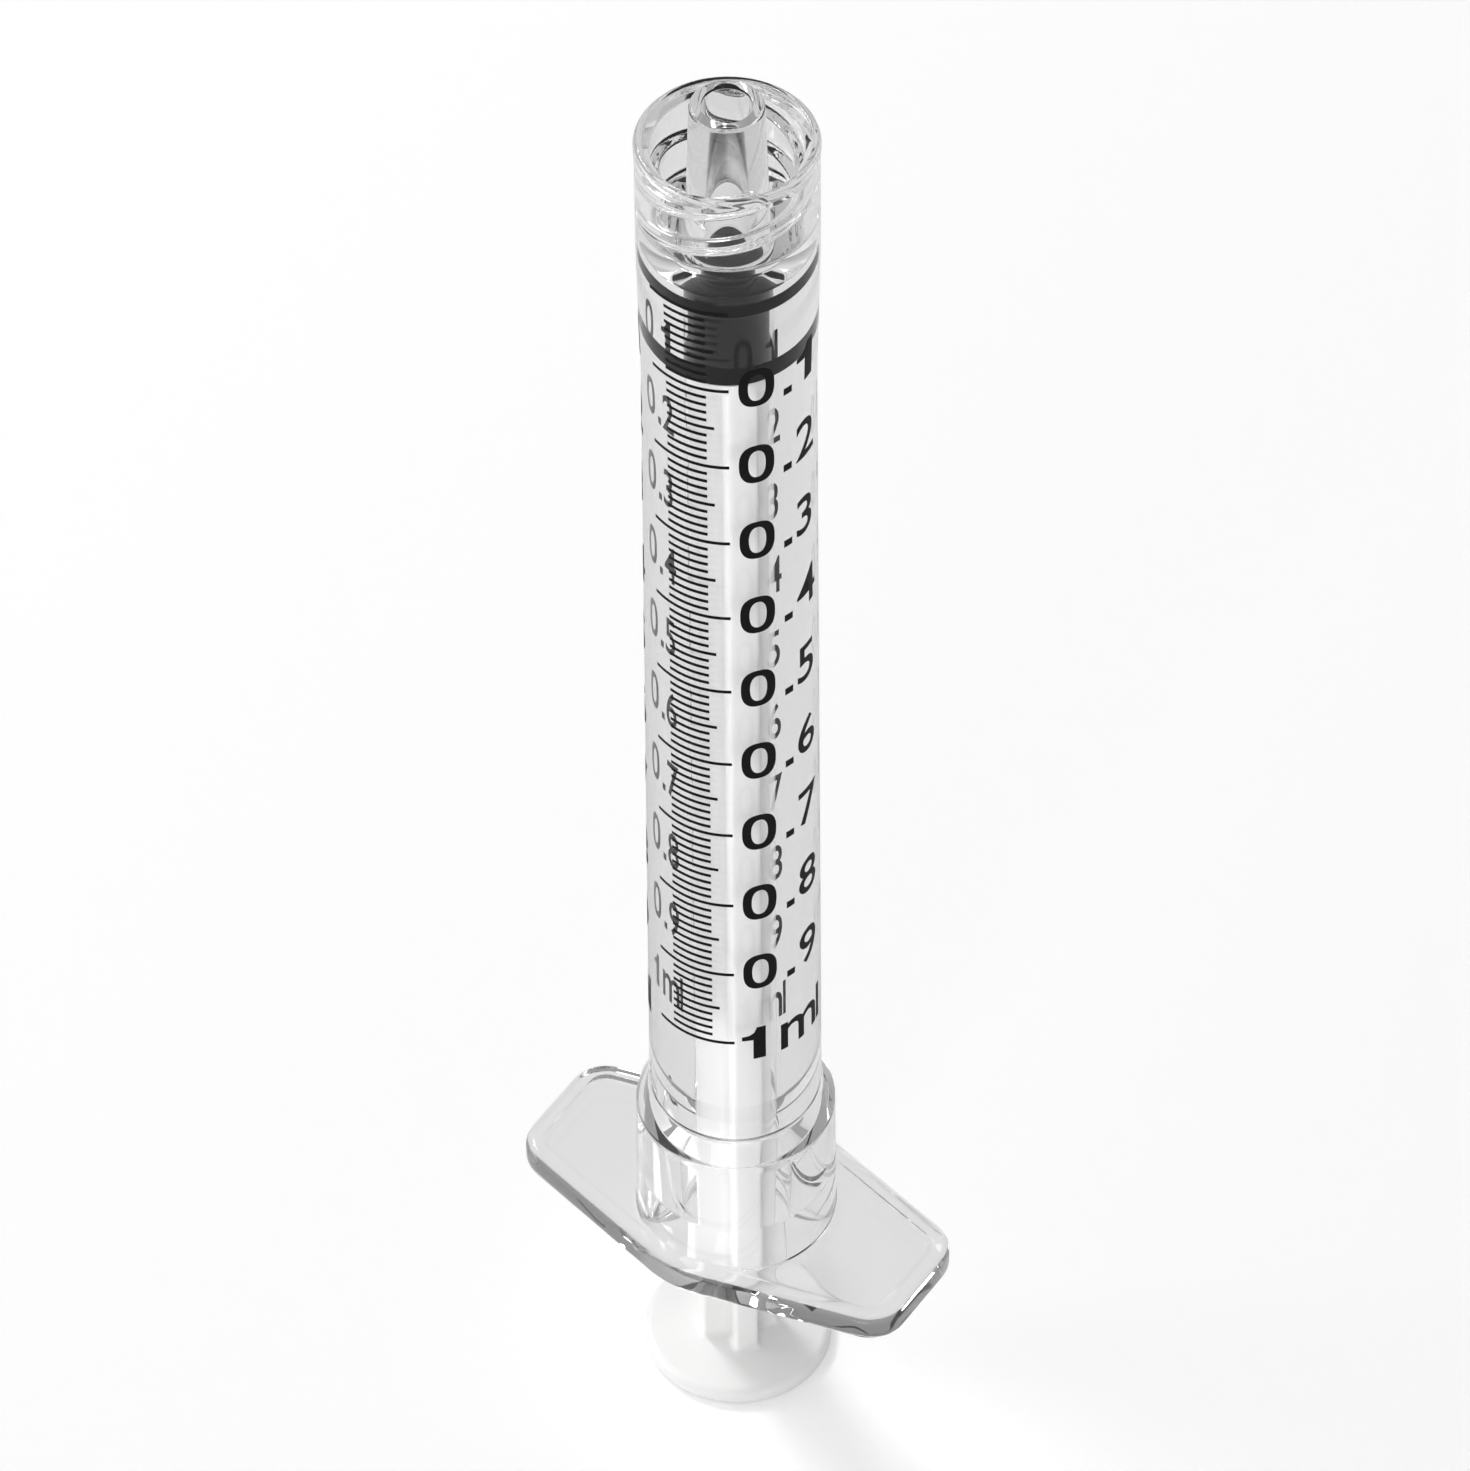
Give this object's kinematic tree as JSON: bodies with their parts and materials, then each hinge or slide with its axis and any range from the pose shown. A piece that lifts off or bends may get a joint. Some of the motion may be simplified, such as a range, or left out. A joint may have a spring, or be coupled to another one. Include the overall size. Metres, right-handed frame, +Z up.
{
  "type": "luer lock syringe",
  "caption": "Slim one millilitre syringe: clear graduated barrel with threaded luer collar and winged finger flange, dark rubber stopper and white cross-shaped plunger rod.",
  "frame": {"origin": "centre of the pressing face of the thumb disc, on the surface that the syringe stands on", "axes": "+Z up the syringe towards the luer tip, X along the long way of the finger flange"},
  "size_m": [0.0256, 0.0138, 0.0986],
  "materials": {
    "clear_barrel": "clear polished moulded plastic with black printed scale",
    "stopper_rubber": "dark grey rubber, lightly lubricated",
    "plunger_plastic": "white moulded plastic, satin"
  },
  "bodies": {
    "plunger": {"plunger_rod": "plunger_plastic"},
    "stopper": {"stopper": "stopper_rubber"},
    "barrel": {"barrel": "clear_barrel"}
  },
  "joints": [
    {"name": "rod_turn", "type": "hinge", "parent": "plunger", "child": "stopper", "pos_m": [0, 0, 0.08325], "axis": [0, 0, 1], "continuous": true},
    {"name": "plunger_slide", "type": "slide", "parent": "stopper", "child": "barrel", "axis": [0, 0, 1], "range_m": [0, 0.06]}
  ]
}
